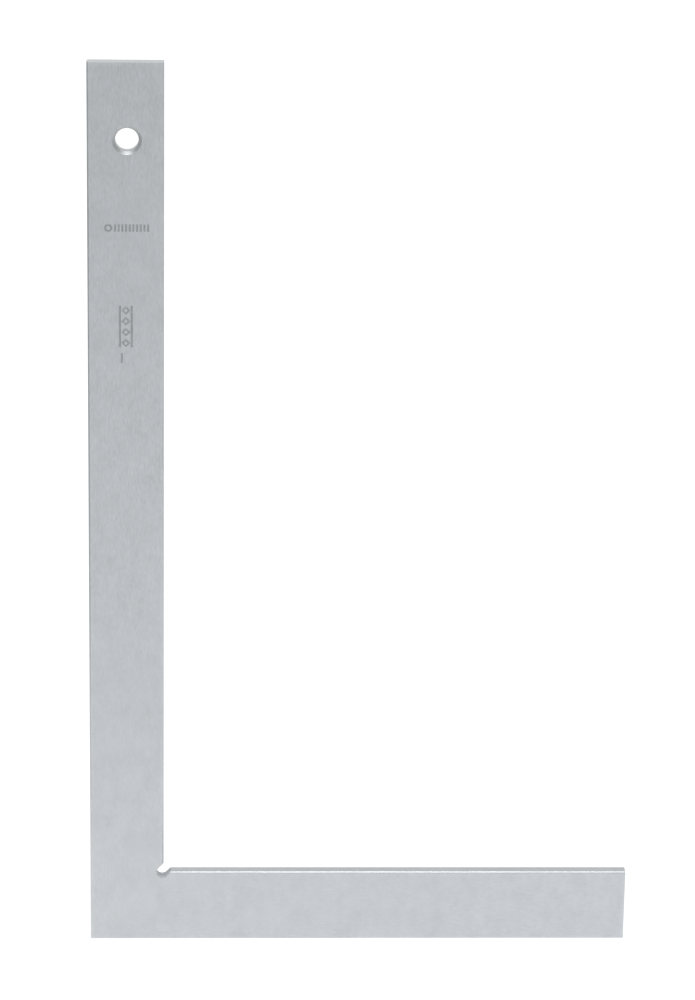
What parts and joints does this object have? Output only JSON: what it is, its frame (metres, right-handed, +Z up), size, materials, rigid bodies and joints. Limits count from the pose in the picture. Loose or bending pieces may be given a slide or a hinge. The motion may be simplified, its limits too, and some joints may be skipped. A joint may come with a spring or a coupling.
{
  "type": "flat steel square",
  "caption": "Flat L-shaped steel square for checking and marking right angles: ground flat bars welded at a mitred corner, with a hanging hole and a relief slot in the inner corner.",
  "frame": {"origin": "middle of the base edge's length and of the thickness, on the surface that the base edge rests on", "axes": "+Z up the long leg, +X towards the free end of the short leg, -Y out of the marked face"},
  "size_m": [0.18, 0.0044, 0.3],
  "materials": {
    "plated_bar": "satin zinc plating over steel ground along each bar, slightly cloudy",
    "plated_weld": "satin zinc plating over a weld seam ground flush, cross-ground and slightly finer than the bars"
  },
  "bodies": {
    "root": {"long_leg": "plated_bar", "short_leg": "plated_bar", "front_weld": "plated_weld", "back_weld": "plated_weld"}
  },
  "joints": []
}
